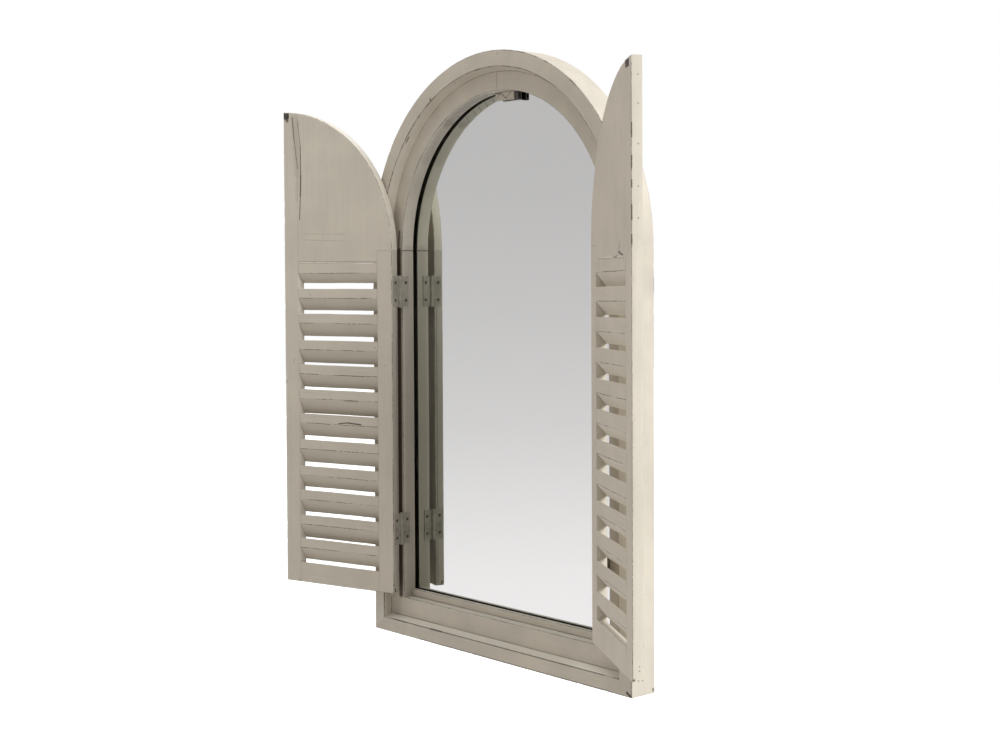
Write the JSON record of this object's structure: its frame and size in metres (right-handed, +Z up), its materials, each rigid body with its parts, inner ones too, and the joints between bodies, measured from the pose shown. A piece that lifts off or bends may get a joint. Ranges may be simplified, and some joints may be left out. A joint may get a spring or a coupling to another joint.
{
  "type": "shutter mirror",
  "caption": "Arched wall mirror in a stepped painted wooden frame, with a pair of louvred shutters on butt hinges that close over the glass.",
  "frame": {"origin": "midway between the two hanging holes, on the wall's face", "axes": "+X across to the viewer's right, +Y into the wall, +Z up; the mirror faces -Y"},
  "size_m": [0.7453, 0.1463, 0.7755],
  "materials": {
    "painted_wood": "matt greige paint, brushed on, rubbed through at the edges",
    "hinge_paint": "steel painted over with the wood, chipped",
    "catch_steel": "dark, scuffed",
    "zinc_steel": "dull zinc plate",
    "clear_glass": "clear, polished",
    "silvering": "silvered",
    "plywood": "raw, sanded",
    "felt": "felt"
  },
  "bodies": {
    "root": {"left_jamb": "painted_wood", "right_jamb": "painted_wood", "bottom_rail": "painted_wood", "left_arch": "painted_wood", "right_arch": "painted_wood", "left_inner_jamb": "painted_wood", "right_inner_jamb": "painted_wood", "inner_sill": "painted_wood", "left_inner_arch": "painted_wood", "right_inner_arch": "painted_wood", "sill_stop": "painted_wood", "crown_block": "painted_wood", "magnetic_catch": "catch_steel", "mirror_glass": "clear_glass", "mirror_silvering": "silvering", "back_panel": "plywood", "panel_brads": "zinc_steel", "hanging_plates": "zinc_steel", "wall_pads": "felt", "frame_screws": "hinge_paint", "jamb_hinge_leaves": "hinge_paint", "hinge_pins": "hinge_paint"},
    "left_shutter": {"left_hinge_stile": "painted_wood", "left_free_stile": "painted_wood", "left_top_panel": "painted_wood", "left_shutter_rail": "painted_wood", "left_shutter_hinge_leaves": "hinge_paint", "left_shutter_screws": "hinge_paint", "left_strike_plate": "catch_steel", "left_louvre_1": "painted_wood", "left_louvre_2": "painted_wood", "left_louvre_3": "painted_wood", "left_louvre_4": "painted_wood", "left_louvre_5": "painted_wood", "left_louvre_6": "painted_wood", "left_louvre_7": "painted_wood", "left_louvre_8": "painted_wood", "left_louvre_9": "painted_wood", "left_louvre_10": "painted_wood", "left_louvre_11": "painted_wood", "left_louvre_12": "painted_wood"},
    "right_shutter": {"right_hinge_stile": "painted_wood", "right_free_stile": "painted_wood", "right_top_panel": "painted_wood", "right_shutter_rail": "painted_wood", "right_shutter_hinge_leaves": "hinge_paint", "right_shutter_screws": "hinge_paint", "right_strike_plate": "catch_steel", "right_louvre_1": "painted_wood", "right_louvre_2": "painted_wood", "right_louvre_3": "painted_wood", "right_louvre_4": "painted_wood", "right_louvre_5": "painted_wood", "right_louvre_6": "painted_wood", "right_louvre_7": "painted_wood", "right_louvre_8": "painted_wood", "right_louvre_9": "painted_wood", "right_louvre_10": "painted_wood", "right_louvre_11": "painted_wood", "right_louvre_12": "painted_wood"}
  },
  "joints": [
    {"name": "left_shutter_swing", "type": "hinge", "parent": "root", "child": "left_shutter", "pos_m": [-0.19948, -0.0322, 0], "axis": [0, 0, 1], "range_deg": [0, 164.2]},
    {"name": "right_shutter_swing", "type": "hinge", "parent": "root", "child": "right_shutter", "pos_m": [0.19948, -0.0322, 0], "axis": [0, 0, 1], "range_deg": [-148.9, 15.3]}
  ]
}
